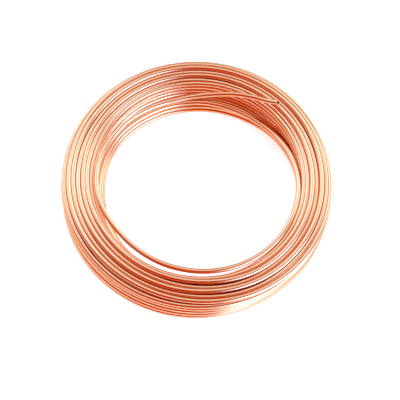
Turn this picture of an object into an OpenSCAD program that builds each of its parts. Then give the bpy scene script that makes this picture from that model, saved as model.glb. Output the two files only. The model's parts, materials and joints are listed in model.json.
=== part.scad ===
// Coil of soft round copper tube, lying flat.
// The wound pack is one turned ring whose outline follows its outermost turns.
// The innermost turns of its lower layers have slipped off centre into the bore.
// The loose inner turn and the raised free end are bent from the same tube.

/* [Tube] */
// Outside diameter of the tube
tube_d = 6.35; // [5:0.05:8]
// Wall thickness of the tube
tube_wall = 0.8; // [0.5:0.05:1.2]
// How much wider the tube gets at each bend that was made before the last
bend_spread = 0.1; // [0.06:0.01:0.15]

/* [Pack] */
// Diameter over the outermost turns
coil_d = 329; // [310:1:360]
// Turns side by side in the top layer
columns = 7; // [6:1:8]
// Layers of turns, one on another
layers = 6; // [5:1:7]
// Distance between neighbouring turns of a layer
turn_pitch = 6.1; // [5.5:0.05:6.3]
// Distance between layers
layer_pitch = 6.5; // [6:0.05:7]
// How much every second turn of the top layer stands higher
top_stagger = 1.6; // [0.5:0.1:2.5]

/* [Slipped turns] */
// Lowest layers whose innermost turn has slipped off centre into the bore
slipped_layers = 3; // [2:1:4]
// How much tighter the highest slipped turn is than the innermost turn of the pack
slip_tighten = 5.5; // [5:0.1:6]
// How much tighter each one is than the slipped turn above it
slip_lean = 0.9; // [0.6:0.1:1.2]
// How far the highest one reaches out past the innermost turn of the pack, where it lies against the layers
slip_reach = 2.5; // [2:0.1:3]
// Direction in which they lie off centre, counted from the right towards the front
slip_angle = 52; // [30:1:70]
// Free height between the highest slipped turn and the turns above it
slip_gap = 0.75; // [0.5:0.05:1]

/* [Loose inner turn] */
// How far behind the middle the sprung turn leaves the pack, on the left and right
loose_angle = 4; // [3:0.5:7]
// Height of its left side above the innermost turn of the top layer
loose_lift = 2; // [1:0.1:4]
// Slope of the turn, down into the pack on the right
loose_tilt = 0.9; // [0.6:0.1:1.5]

/* [Free end] */
// How much tighter the bend from the left to the back is than the innermost turn
back_tighten = 27; // [20:0.5:32]
// Angle of that bend
back_angle = 72; // [68:0.5:76]
// Radius of the wide bend that carries the end out over the pack
end_r = 210; // [190:1:240]
// Angle of that wide bend
end_angle = 35; // [30:0.5:38]
// Angle of it that is left solid, next to the tighter bend
end_solid = 6; // [2:0.5:10]
// Slope of both bends, up and clear of the pack
end_tilt = 2.2; // [2:0.1:3]
// Radius of the last bend, which lifts the tip
lift_r = 80; // [60:1:100]
// Angle of that last bend
lift_angle = 14; // [8:0.5:18]
// Length of the straight tip
tip_len = 15; // [10:1:30]

/* [Hidden] */
$fn = 96;

tube_r = tube_d / 2;
bore_d = tube_d - 2 * tube_wall;

// Centres of the turns, as distances from the axis and heights
outer_x = coil_d / 2 - tube_r;
inner_x = outer_x - (columns - 1) * turn_pitch;
top_z = tube_r + (layers - 1) * layer_pitch;
function column_x(i) = outer_x - i * turn_pitch;
function layer_z(k) = tube_r + k * layer_pitch;
slip = slip_tighten + slip_reach;
slip_pitch = (slipped_layers * layer_pitch - tube_d - slip_gap) / (slipped_layers - 1);
function slipped_x(k) = inner_x - slip_tighten - (slipped_layers - 1 - k) * slip_lean;

outer_turns = [for (k = [0 : layers - 1]) [outer_x, layer_z(k)]];
top_turns = [for (i = [0 : columns - 1]) [column_x(i), top_z + (i % 2) * top_stagger]];
upper_inner_turns = [for (k = [layers - 2 : -1 : slipped_layers]) [inner_x, layer_z(k)]];
lower_inner_turns = [for (k = [slipped_layers : -1 : 0]) [column_x(columns - 2), layer_z(k)]];
bottom_turns = [for (i = [columns - 3 : -1 : 1]) [column_x(i), tube_r]];
turns = concat(outer_turns, top_turns, upper_inner_turns, lower_inner_turns, bottom_turns);
slipped_turns = [for (k = [0 : slipped_layers - 1]) [slipped_x(k), tube_r + k * slip_pitch]];

// The filled middle reaches a little past the turns' centres, so that no groove is cut through
fill = 0.4 * tube_r;
function shifted(points, step) = [for (p = points) p + step];

// The loose turn's left side, where it meets the bend to the free end, on the innermost turn
loose_r = inner_x * cos(loose_angle);
back_r = inner_x - back_tighten;
left = [-loose_r, inner_x * sin(loose_angle), top_z + loose_lift];

// The free end, in its own sloping plane, with its origin at that left side
end_from = 180 - back_angle;
end_to = end_from - end_angle;
end_middle = [back_r, 0] + (back_r - end_r) * [cos(end_from), sin(end_from)];

// Each run of tube reaches this far into the wider run that it continues
lap = tube_r / 3;
function lap_angle(radius) = lap / radius * 180 / PI;

// The round of each turn in a half section
module turn_rounds(centres) {
    for (p = centres)
        translate(p)
            circle(d = tube_d);
}

// Half section of the pack: a filled middle with the round of each outermost turn
module pack_section() {
    polygon(concat(
        shifted(outer_turns, [fill, 0]),
        shifted(top_turns, [0, fill]),
        shifted(upper_inner_turns, [-fill, 0]),
        [[inner_x, layer_z(slipped_layers) - fill]],
        shifted(lower_inner_turns, [-fill, -fill]),
        shifted(bottom_turns, [0, -fill])
    ));
    turn_rounds(turns);
}

// The slipped turns, joined in the grooves between them, off centre in the bore
module slipped_ring() {
    joins = concat(
        shifted(slipped_turns, [fill, 0]),
        [for (n = [1 : slipped_layers]) slipped_turns[slipped_layers - n] - [fill, 0]]
    );
    translate(slip * [cos(slip_angle), -sin(slip_angle)])
        rotate_extrude() {
            polygon(joins);
            turn_rounds(slipped_turns);
        }
}

// A bend of round bar in the XY plane, about the origin
module bend(radius, from, angle, d) {
    rotate_extrude(start = from, angle = angle)
        translate([radius, 0])
            circle(d = d);
}

// The half turn that hangs clear of the pack at the front
module loose_turn() {
    reach = lap_angle(loose_r);
    translate(left)
        rotate([0, loose_tilt, 0])
            translate([loose_r, 0, 0])
                bend(loose_r, 180 - reach, 180 + reach, tube_d + 2 * bend_spread);
}

// The tighter bend from the left side to the back
module back_bend() {
    translate([back_r, 0, 0])
        bend(back_r, end_from, back_angle, tube_d + 3 * bend_spread);
}

// The wide bend over the pack, or the last part of it, reaching a little past its start or its end
module end_bend(d, angle, before, after) {
    translate(end_middle)
        bend(end_r, end_to - after, angle + before + after, d);
}

// Places its children where the wide bend ends, with X along the tube
module at_lift() {
    translate(end_middle + end_r * [cos(end_to), sin(end_to)])
        rotate([0, 0, end_to - 90])
            children();
}

// The last bend, upwards
module lift_bend(d, before, after) {
    translate([0, 0, lift_r])
        rotate([90, 0, 0])
            bend(lift_r, -90 - before, lift_angle + before + after, d);
}

// The straight tip, or a round bar of another size on its axis
module tip(d, from, to) {
    translate([lift_r * sin(lift_angle), 0, lift_r * (1 - cos(lift_angle))])
        rotate([0, 90 - lift_angle, 0])
            translate([0, 0, from])
                cylinder(d = d, h = to - from);
}

// The bore of the free end, open at the tip
module end_bore() {
    end_bend(bore_d - 2 * bend_spread, end_angle - end_solid, 0, lap_angle(end_r));
    at_lift() {
        lift_bend(bore_d - bend_spread, 0, lap_angle(lift_r));
        tip(bore_d, 0, tip_len + lap);
    }
}

// The raised end of the tube, from the left side to the tip
module free_end() {
    translate(left)
        rotate([0, -end_tilt, 0])
            difference() {
                union() {
                    back_bend();
                    end_bend(tube_d + 2 * bend_spread, end_angle, lap_angle(end_r), 0);
                    at_lift() {
                        lift_bend(tube_d + bend_spread, lap_angle(lift_r), 0);
                        tip(tube_d, -lap, tip_len);
                    }
                }
                end_bore();
            }
}

// The whole coil is one tube, so it is one solid
module tube_coil() {
    color([0.85, 0.48, 0.3]) {
        rotate_extrude()
            pack_section();
        slipped_ring();
        loose_turn();
        free_end();
    }
}

tube_coil();
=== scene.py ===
import json
import math

import bpy
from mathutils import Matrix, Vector

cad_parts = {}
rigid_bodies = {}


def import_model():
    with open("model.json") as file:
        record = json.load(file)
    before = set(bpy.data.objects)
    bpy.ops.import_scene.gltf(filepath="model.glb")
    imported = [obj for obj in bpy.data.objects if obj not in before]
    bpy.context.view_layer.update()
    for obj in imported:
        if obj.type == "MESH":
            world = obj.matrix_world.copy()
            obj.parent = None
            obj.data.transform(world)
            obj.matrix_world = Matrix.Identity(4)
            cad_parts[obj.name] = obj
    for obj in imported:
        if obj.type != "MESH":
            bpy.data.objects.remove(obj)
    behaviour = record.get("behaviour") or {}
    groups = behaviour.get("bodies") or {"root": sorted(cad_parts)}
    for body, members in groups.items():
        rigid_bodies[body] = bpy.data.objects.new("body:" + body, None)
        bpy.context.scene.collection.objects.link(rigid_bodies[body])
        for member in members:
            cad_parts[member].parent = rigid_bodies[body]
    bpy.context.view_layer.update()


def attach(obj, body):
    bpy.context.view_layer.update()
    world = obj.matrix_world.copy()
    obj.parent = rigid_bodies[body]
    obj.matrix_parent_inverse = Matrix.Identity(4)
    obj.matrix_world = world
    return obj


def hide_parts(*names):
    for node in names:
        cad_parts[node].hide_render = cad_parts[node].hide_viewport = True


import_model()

# The coil: one length of soft copper tube, drawn bright and wound into a flat bundle.
# The top is a spiral whose turns lie high and low by turns. The inner end has sprung loose: it lies
# in the bore, rises at the right, crosses the front and the back, and its cut tip points up.
tube_radius = 3.175
tube_wall = 0.8
tip_bore_depth = 10.0
tip_cut_slope = 0.25
turn_step = 2.0
floor_height = tube_radius + 0.1

# The free end from its tip: angle about the axis, distance from it and height, in degrees and
# millimetres. Angles are counted from the right towards the back
free_end = [
    (42.5, 137.5, 52.36), (48.1, 131.1, 48.5), (56.6, 125.4, 46.0), (66.2, 119.8, 44.4),
    (74.6, 114.7, 43.2), (85.8, 110.1, 41.8), (96.4, 107.7, 40.9), (105.3, 107.0, 40.2),
    (120.4, 109.2, 39.4), (135.4, 112.6, 38.9), (150.5, 115.4, 38.6), (165.0, 118.4, 38.5),
    (178.0, 119.7, 38.5), (190.0, 119.2, 38.4), (200.0, 117.3, 38.2), (210.0, 115.4, 38.0),
    (220.0, 114.0, 37.8), (230.0, 113.8, 37.6), (240.0, 114.3, 37.4), (250.0, 115.2, 37.2),
    (260.0, 116.2, 37.1), (270.0, 117.5, 37.0), (280.0, 118.9, 36.9), (290.0, 120.4, 36.8),
    (300.0, 121.7, 36.7), (315.0, 122.9, 36.5), (330.0, 123.2, 36.0), (345.0, 123.0, 34.4),
    (360.0, 122.5, 31.0), (375.0, 121.0, 26.4), (390.0, 117.6, 21.8), (405.0, 114.6, 18.2),
    (420.0, 113.4, 16.2), (435.0, 113.8, 15.5), (450.0, 114.6, 15.4),
]

# Distance of the lowest turn in the bore, every 30 degrees
bore_turn = [126.0, 121.6, 113.6, 111.2, 111.9, 116.0, 115.8, 116.5, 118.5, 121.0, 124.0, 126.0]
# How far each turn in the bore leans out past the one below it, and lies above it
bore_lean = 1.7
bore_layer = 6.05

# Distance and height of the bundle's outermost turns, one place for each turn: up the bore,
# out over the top, down the outside and back in below
turn_places = [
    (126.8, 3.4), (126.6, 9.6), (126.4, 15.8), (126.4, 21.9), (126.6, 28.0), (127.2, 33.6),
    (131.4, 36.0), (137.0, 36.1), (142.6, 36.1), (148.3, 36.1), (153.9, 36.0), (159.4, 34.8),
    (160.6, 28.7), (160.9, 22.4), (160.9, 16.1), (160.9, 9.8), (160.6, 3.5),
    (154.2, 3.3), (147.6, 3.3), (141.0, 3.3), (134.4, 3.3),
]
last_place = len(turn_places) - 1
top_from, below_from = 6, 16
top_spacing = 5.65
bore_wall = 126.6
outer_reach = 161.25

# How far the top leans outwards, every 30 degrees: it is pressed in at the front left
lean = [3.6, 3.8, 4.0, 4.3, 3.9, 1.4, -1.6, -4.8, -6.1, -3.6, 1.6, 3.6]


def smooth_through(a, b, c, d, part):
    """A value between b and c on the smooth line through four values."""
    bend = 2 * a - 5 * b + 4 * c - d + part * (3 * (b - c) + d - a)
    return b + 0.5 * part * (c - a + part * bend)


def along(points, step):
    """A point on the smooth line through a row of points, at a place counted in points."""
    first = math.floor(step)
    rows = [points[min(max(n, 0), len(points) - 1)] for n in range(first - 1, first + 3)]
    return [smooth_through(*values, step - first) for values in zip(*rows)]


def round_axis(values, angle):
    """A value at an angle, on the smooth closed line through values at even steps."""
    step = angle % 360 / 360 * len(values)
    first = math.floor(step)
    near = [values[n % len(values)] for n in range(first - 1, first + 3)]
    return smooth_through(*near, step - first)


def ease(low, high, value):
    """Nought below low, one above high and an even curve between."""
    part = min(max((value - low) / (high - low), 0.0), 1.0)
    return part * part * (3 - 2 * part)


def facing(angle, direction):
    """One where an angle is the direction's own, and less on both sides of it."""
    return math.cos(math.radians(angle) - math.radians(direction))


def about_axis(angle, radius, height):
    """A place in metres, from an angle in degrees and millimetres."""
    turn = math.radians(angle)
    return Vector((radius * math.cos(turn), radius * math.sin(turn), height)) * 0.001


# The free end, from its tip to the back of the bore
route = []
for n in range(len(free_end) - 1):
    cuts = max(2, round((free_end[n + 1][0] - free_end[n][0]) / turn_step))
    route += [about_axis(*along(free_end, n + k / cuts)) for k in range(cuts)]

# The turns in the bore, from the third layer down to the floor and out to the bundle
bore_from, bundle_from = 450, 1440
way_out, way_out_angle = 6.8, 110
for k in range(round((bundle_from - bore_from) / turn_step)):
    angle = bore_from + k * turn_step
    layers_up = max(0.0, 2 - (angle - bore_from) / 360)
    radius = round_axis(bore_turn, angle) + bore_lean * layers_up
    radius += way_out * ease(bundle_from - way_out_angle, bundle_from, angle)
    route.append(about_axis(angle, radius, floor_height + bore_layer * layers_up))

# The bundle's outermost turns. Half of the lean moves the turns themselves, and half moves the
# tube on along their places
lean_share = 0.5
high_ride, deep_ride, deep_direction = 1.25, 1.7, 262
change_over = 1615
back_tuck, tuck_direction = 1.4, 55
for k in range(round(last_place * 360 / turn_step) + 1):
    angle = bundle_from + k * turn_step
    lean_here = round_axis(lean, angle)
    place = k * turn_step / 360
    on_top = ease(-1, top_from, place) * (1 - ease(9.6, 16.5, place))
    place += on_top * lean_share * (lean_here - lean[0]) / top_spacing
    place = min(place, last_place)
    radius, height = along(turn_places, place)
    radius += lean_share * lean_here * ease(6, 28, height)
    # Low down, the bundle gives way to the turns in the bore
    give = round_axis(bore_turn, angle) + bore_lean * (height - 3) / 6 + 6.5 - bore_wall
    give = max(0.0, give) * (1 - ease(13, 25, height))
    if place < top_from:
        radius += give
    elif place > below_from:
        radius += give * (place - below_from) / (last_place - below_from)
    # Every turn of the top rides high or low. They change over at the left and lie deepest in front
    ride = math.tanh(2.4 * math.sin(math.pi * (angle - bundle_from - change_over) / 360))
    ride *= high_ride + deep_ride * max(0.0, -ride) * ease(0.6, 1, facing(angle, deep_direction))
    height += ride * ease(4.8, 6.0, place) * (1 - ease(10.4, 11.6, place))
    # Soft tube never lies quite true, except on the floor
    turn = math.radians(angle)
    sway = 0.20 * math.sin(2.1 * turn + 1.3 * place) + 0.14 * math.sin(5.3 * turn + 0.7 * place)
    heave = 0.16 * math.sin(1.7 * turn + 2.2 * place) * ease(3.6, 8.0, height)
    reach = outer_reach - back_tuck * ease(0, 1, facing(angle, tuck_direction))
    radius = min(radius + sway, reach)
    route.append(about_axis(angle, radius, max(height + heave, tube_radius + 0.05)))

# The other end is buried: it climbs inside the bundle and winds out under the top, to its outer edge
inside_from = bundle_from + last_place * 360
inside_start = math.hypot(route[-1].x, route[-1].y) * 1000
inside_length, climb_length, climb_height = 1446, 150, 23.5
inside_first, inside_spacing, inside_last, inside_reach = 134.6, 6.4, 155.5, 153.5
last_lift = 3.3
for k in range(1, round(inside_length / turn_step)):
    gone = k * turn_step
    climb = ease(0, climb_length, gone)
    wound = inside_spacing * max(0, gone - climb_length) / 360
    radius = min(inside_first + wound, inside_last)
    radius = min(radius + lean_share * round_axis(lean, inside_from + gone), inside_reach)
    radius = inside_start + (radius - inside_start) * climb
    height = floor_height + climb_height * climb + last_lift * ease(1130, 1250, gone)
    route.append(about_axis(inside_from + gone, radius, height))

# The tube is swept along its route
bpy.ops.object.select_all(action="DESELECT")
bpy.ops.curve.primitive_nurbs_path_add()
coil = bpy.context.object
coil.name = "copper_tube"
coil.data.splines.clear()
run = coil.data.splines.new("POLY")
run.points.add(len(route) - 1)
for point, spot in zip(run.points, route):
    point.co = (*spot, 1.0)
coil.data.dimensions = "3D"
coil.data.twist_mode = "MINIMUM"
coil.data.bevel_depth = tube_radius * 0.001
coil.data.bevel_resolution = 6
bpy.ops.object.convert(target="MESH")
coil = bpy.context.object
sides = len(coil.data.vertices) // len(route)

# The tube's own directions, along it and round it, for the marks that drawing it left
drawn = coil.data.attributes.new("drawn", "FLOAT_VECTOR", "POINT")
length = 0.0
for n, spot in enumerate(route):
    length += (spot - route[n - 1]).length if n else 0.0
    for side in range(sides):
        turn = 2 * math.pi * side / sides
        drawn.data[n * sides + side].vector = (length, math.cos(turn), math.sin(turn))


def select_ring(ring):
    """Selects one ring of the tube's points and nothing else, in edit mode."""
    bpy.ops.object.mode_set(mode="EDIT")
    bpy.ops.mesh.select_mode(type="VERT")
    bpy.ops.mesh.select_all(action="DESELECT")
    bpy.ops.object.mode_set(mode="OBJECT")
    for vertex in coil.data.vertices[ring]:
        vertex.select = True
    bpy.ops.object.mode_set(mode="EDIT")


# The tip is cut a little askew, facing up and to the front
inward = (route[1] - route[0]).normalized()
cut_faces = Vector((0, -0.4, 0.9))
cut_up = (cut_faces - inward * inward.dot(cut_faces)).normalized()
for vertex in coil.data.vertices[:sides]:
    set_back = cut_up.dot(vertex.co - route[0]) + tube_radius * 0.001
    vertex.co += inward * tip_cut_slope * set_back

# The buried end is closed, and the tip is open: its bore is dark with oxide and with painted shade
select_ring(slice(-sides, None))
bpy.ops.mesh.edge_face_add()
select_ring(slice(0, sides))
bpy.ops.mesh.edge_face_add()
bpy.ops.mesh.select_mode(type="FACE")
bpy.ops.mesh.inset(thickness=tube_wall * 0.001, use_even_offset=True)
bpy.ops.mesh.extrude_region_move(
    TRANSFORM_OT_translate={"value": inward * tip_bore_depth * 0.001}
)
bpy.ops.mesh.select_more()
copper = bpy.data.materials.new("bright_copper")
oxide_and_bore_shade = bpy.data.materials.new("oxide_and_painted_bore_shade")
coil.data.materials.clear()
coil.data.materials.append(copper)
coil.data.materials.append(oxide_and_bore_shade)
coil.active_material_index = 1
bpy.ops.object.material_slot_assign()
bpy.ops.object.mode_set(mode="OBJECT")
bpy.ops.object.shade_smooth_by_angle(angle=math.radians(40))


def add_noise(tree, places, scale, detail):
    """A noise pattern on places."""
    noise = tree.nodes.new("ShaderNodeTexNoise")
    noise.inputs["Scale"].default_value = scale
    noise.inputs["Detail"].default_value = detail
    tree.links.new(places, noise.inputs["Vector"])
    return noise.outputs["Fac"]


def set_colour(tree, pattern, low, high):
    """Colours a material between two stops, each a level of the pattern and a colour."""
    ramp = tree.nodes.new("ShaderNodeValToRGB")
    for stop, (level, colour) in zip(ramp.color_ramp.elements, (low, high)):
        stop.position = level
        stop.color = (*colour, 1)
    tree.links.new(pattern, ramp.inputs["Fac"])
    tree.links.new(ramp.outputs["Color"], tree.nodes["Principled BSDF"].inputs["Base Color"])


def set_roughness(tree, pattern, low, high):
    """Sets the roughness between two stops, each a level of the pattern and a roughness."""
    levels = tree.nodes.new("ShaderNodeMapRange")
    levels.inputs["From Min"].default_value, levels.inputs["To Min"].default_value = low
    levels.inputs["From Max"].default_value, levels.inputs["To Max"].default_value = high
    tree.links.new(pattern, levels.inputs["Value"])
    tree.links.new(levels.outputs["Result"], tree.nodes["Principled BSDF"].inputs["Roughness"])


def set_bump(tree, pattern, strength):
    """Raises a pattern by up to a fifth of a millimetre, times a strength."""
    bump = tree.nodes.new("ShaderNodeBump")
    bump.inputs["Strength"].default_value = strength
    bump.inputs["Distance"].default_value = 0.0002
    tree.links.new(pattern, bump.inputs["Height"])
    tree.links.new(bump.outputs["Normal"], tree.nodes["Principled BSDF"].inputs["Normal"])


# Bright drawn copper: streaks along the tube, tints that change from turn to turn, dulled patches
copper.use_nodes = True
bright = copper.node_tree
bright.nodes["Principled BSDF"].inputs["Metallic"].default_value = 1.0
bright.nodes["Principled BSDF"].inputs["Specular Tint"].default_value = (0.85, 0.45, 0.3, 1)
along_tube = bright.nodes.new("ShaderNodeAttribute")
along_tube.attribute_name = "drawn"
stretch = bright.nodes.new("ShaderNodeMapping")
stretch.inputs["Scale"].default_value = (5, 1, 1)
bright.links.new(along_tube.outputs["Vector"], stretch.inputs["Vector"])
streaks = add_noise(bright, stretch.outputs["Vector"], 5.0, 3.0)
tints = add_noise(bright, along_tube.outputs["Vector"], 3.0, 2.0)
blend = bright.nodes.new("ShaderNodeMath")
blend.operation = "MULTIPLY_ADD"
blend.inputs[1].default_value = 0.35
bright.links.new(streaks, blend.inputs[0])
bright.links.new(tints, blend.inputs[2])
on_coil = bright.nodes.new("ShaderNodeTexCoord")
dulled = add_noise(bright, on_coil.outputs["Object"], 28.0, 4.0)
set_colour(bright, blend.outputs["Value"], (0.45, (0.88, 0.37, 0.18)), (0.90, (0.95, 0.49, 0.28)))
set_roughness(bright, dulled, (0.35, 0.07), (0.75, 0.16))
set_bump(bright, streaks, 0.12)

# Inside the cut end the copper is unpolished and oxidised. Its colour is near black, which is also
# painted shade for the deep, hollow bore
oxide_and_bore_shade.use_nodes = True
dark = oxide_and_bore_shade.node_tree
dark.nodes["Principled BSDF"].inputs["Specular IOR Level"].default_value = 0.1
in_bore = dark.nodes.new("ShaderNodeTexCoord")
blotches = add_noise(dark, in_bore.outputs["Object"], 400.0, 4.0)
set_colour(dark, blotches, (0.35, (0.003, 0.0015, 0.001)), (0.7, (0.014, 0.006, 0.004)))
set_roughness(dark, blotches, (0.0, 0.5), (1.0, 0.8))
set_bump(dark, blotches, 0.2)

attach(coil, "root")
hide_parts("tube_coil")

# The floor: a plain pale board, wide enough to fill the view.
# It glows a little, as a light table does, so that it stays pale round the coil.
bpy.ops.object.select_all(action="DESELECT")
bpy.ops.mesh.primitive_plane_add(size=8)
floor = bpy.context.object
floor.name = "floor"
paint = bpy.data.materials.new("white_floor")
paint.use_nodes = True
board = paint.node_tree.nodes["Principled BSDF"]
board.inputs["Base Color"].default_value = (0.9, 0.9, 0.9, 1)
board.inputs["Roughness"].default_value = 0.9
board.inputs["Emission Color"].default_value = (0.93, 1, 0.95, 1)
board.inputs["Emission Strength"].default_value = 0.6
floor.data.materials.append(paint)

# Light: a dim warm tent with cool soft lamps behind its walls.
# Copper mirrors what is round it, so the lamps stand where they make the turns pale.
glow = bpy.data.node_groups.new("tent_glow", "ShaderNodeTree")
glow.interface.new_socket("Direction", in_out="INPUT", socket_type="NodeSocketVector")
glow.interface.new_socket("Towards", in_out="INPUT", socket_type="NodeSocketVector")
glow.interface.new_socket("Edge", in_out="INPUT", socket_type="NodeSocketFloat")
glow.interface.new_socket("Middle", in_out="INPUT", socket_type="NodeSocketFloat")
glow.interface.new_socket("Light", in_out="OUTPUT", socket_type="NodeSocketFloat")
taken = glow.nodes.new("NodeGroupInput")
given = glow.nodes.new("NodeGroupOutput")
nearness = glow.nodes.new("ShaderNodeVectorMath")
nearness.operation = "DOT_PRODUCT"
spread = glow.nodes.new("ShaderNodeMapRange")
spread.interpolation_type = "SMOOTHSTEP"
glow.links.new(taken.outputs["Direction"], nearness.inputs[0])
glow.links.new(taken.outputs["Towards"], nearness.inputs[1])
glow.links.new(nearness.outputs["Value"], spread.inputs["Value"])
glow.links.new(taken.outputs["Edge"], spread.inputs["From Min"])
glow.links.new(taken.outputs["Middle"], spread.inputs["From Max"])
glow.links.new(spread.outputs["Result"], given.inputs["Light"])

world = bpy.data.worlds.new("tent")
world.use_nodes = True
bpy.context.scene.world = world
tent = world.node_tree
looking = tent.nodes.new("ShaderNodeTexCoord")
fill_colour = (0.57, 0.165, 0.024)
# Direction and height of each lamp, the angles at which its glow ends and is full, and its colour.
# The fifth is no lamp: there, at the front left, the tent's own cloth is redder.
lamps = [
    (84, 60, 44, 6, (0.40, 1.2, 1.72)),
    (34, 16, 46, 8, (0.86, 2.7, 4.0)),
    (140, 30, 40, 8, (0.58, 1.8, 2.75)),
    (188, 28, 44, 6, (0.04, 0.12, 0.16)),
    (240, 20, 54, 10, (0.04, -0.10, -0.02)),
    (317, 10, 42, 6, (2.0, 6.2, 11.6)),
]
total = None
for direction, rise, edge, middle, lamp_colour in lamps:
    lamp = tent.nodes.new("ShaderNodeGroup")
    lamp.node_tree = glow
    turn, lift = math.radians(direction), math.radians(rise)
    towards = (math.cos(lift) * math.cos(turn), math.cos(lift) * math.sin(turn), math.sin(lift))
    lamp.inputs["Towards"].default_value = towards
    lamp.inputs["Edge"].default_value = math.cos(math.radians(edge))
    lamp.inputs["Middle"].default_value = math.cos(math.radians(middle))
    tent.links.new(looking.outputs["Generated"], lamp.inputs["Direction"])
    added = tent.nodes.new("ShaderNodeVectorMath")
    added.operation = "MULTIPLY_ADD"
    added.inputs[1].default_value = lamp_colour
    added.inputs[2].default_value = fill_colour
    tent.links.new(lamp.outputs["Light"], added.inputs[0])
    if total is not None:
        tent.links.new(total, added.inputs[2])
    total = added.outputs["Vector"]
tent.links.new(total, tent.nodes["Background"].inputs["Color"])

# Camera: in front of the coil and well above it, with a long lens.
bpy.ops.object.camera_add(location=(0.0, -0.4439, 1.0265))
camera = bpy.context.object
camera.data.lens = 81.4
camera.data.sensor_width = 36
aim = Vector((0.004, -0.0218, 0.02))
camera.rotation_euler = (aim - camera.location).to_track_quat("-Z", "Y").to_euler()
bpy.context.scene.camera = camera
bpy.context.scene.view_settings.view_transform = "Standard"

bpy.context.view_layer.update()
